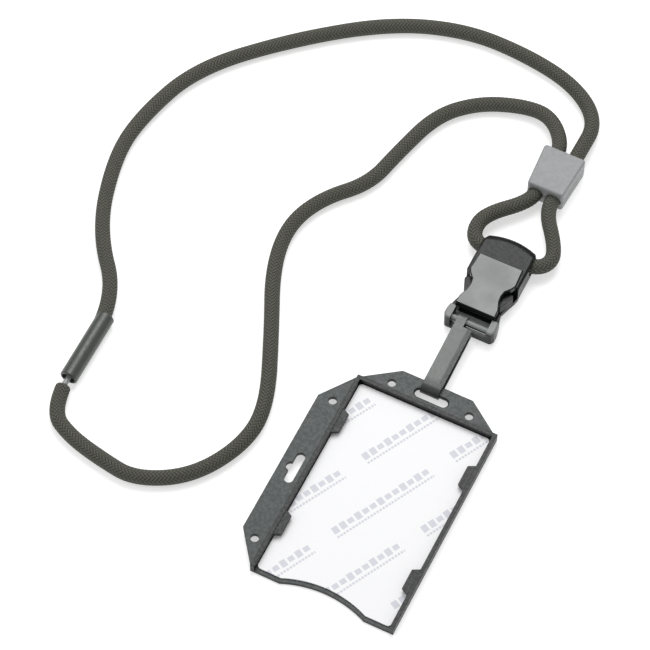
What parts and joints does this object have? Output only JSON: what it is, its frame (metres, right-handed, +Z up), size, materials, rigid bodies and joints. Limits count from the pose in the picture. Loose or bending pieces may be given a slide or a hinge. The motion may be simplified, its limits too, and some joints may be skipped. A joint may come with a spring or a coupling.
{
  "type": "badge holder on neck cord",
  "caption": "Open-faced rigid card holder on a strap loop and side-release buckle, hung from a round woven neck cord with a slider and a breakaway sleeve.",
  "frame": {"origin": "on the surface that it lies on, at the middle of the box round the holder, strap and buckle", "axes": "+Y from the holder along the strap to the buckle, +X to the holder's right seen from its open face, +Z up out of the open face"},
  "size_m": [0.1891, 0.2538, 0.0104],
  "materials": {
    "holder_plastic": "satin",
    "insert_card": "matte",
    "strap_vinyl": "satin",
    "buckle_plastic": "satin",
    "slider_plastic": "satin",
    "cord_braid": "woven",
    "sleeve_plastic": "gloss",
    "pin_plastic": "gloss"
  },
  "bodies": {
    "neck_loop": {"cord_outer_run": "cord_braid", "cord_inner_run": "cord_braid", "cord_pin_run": "cord_braid", "cord_buckle_loop": "cord_braid", "cord_slider_stretch": "cord_braid", "breakaway_sleeve": "sleeve_plastic"},
    "breakaway_plug": {"breakaway_pin": "pin_plastic"},
    "slider": {"slider_front_shell": "slider_plastic", "slider_rear_shell": "slider_plastic"},
    "socket": {"buckle_socket": "buckle_plastic"},
    "plug": {"buckle_plug": "buckle_plastic"},
    "left_prong": {"buckle_left_prong": "buckle_plastic"},
    "right_prong": {"buckle_right_prong": "buckle_plastic"},
    "strap": {"strap": "strap_vinyl"},
    "holder": {"holder_frame": "holder_plastic"},
    "card": {"card_insert": "insert_card"}
  },
  "joints": [
    {"name": "slider_travel", "type": "slide", "parent": "neck_loop", "child": "slider", "axis": [0, 1, 0], "range_m": [-0.006, 0.025], "deforming": ["cord_outer_run", "cord_inner_run", "cord_buckle_loop"]},
    {"name": "breakaway_pull", "type": "slide", "parent": "neck_loop", "child": "breakaway_plug", "axis": [0, -1, 0], "range_m": [0, 0.016], "deforming": ["cord_pin_run"]},
    {"name": "buckle_swing", "type": "hinge", "parent": "neck_loop", "child": "socket", "pos_m": [0.0045, 0.0775, 0.0052], "axis": [-1, 0, 0], "range_deg": [0, 90]},
    {"name": "buckle_release", "type": "slide", "parent": "socket", "child": "plug", "axis": [0, -1, 0], "range_m": [0, 0.024], "deforming": ["buckle_left_prong", "buckle_right_prong"]},
    {"name": "left_prong_squeeze", "type": "hinge", "parent": "plug", "child": "left_prong", "pos_m": [-0.0009, 0.053, 0.0052], "axis": [0, 0, -1], "range_deg": [0, 9], "stiffness_Nm_per_rad": 0.05},
    {"name": "right_prong_squeeze", "type": "hinge", "parent": "plug", "child": "right_prong", "pos_m": [0.0099, 0.053, 0.0052], "axis": [0, 0, 1], "range_deg": [0, 9], "stiffness_Nm_per_rad": 0.05},
    {"name": "strap_swing", "type": "hinge", "parent": "plug", "child": "strap", "pos_m": [0.0032, 0.0436, 0.0062], "axis": [-1, 0, 0], "range_deg": [0, 85]},
    {"name": "holder_swing", "type": "hinge", "parent": "strap", "child": "holder", "pos_m": [0.0032, 0.01342, 0.0031], "axis": [-1, 0, 0], "range_deg": [0, 45]},
    {"name": "card_slide", "type": "slide", "parent": "holder", "child": "card", "axis": [0, -1, 0], "range_m": [0, 0.088]}
  ],
  "couplings": [
    {"joint": "right_prong_squeeze", "follows": "left_prong_squeeze", "ratio": 1}
  ]
}
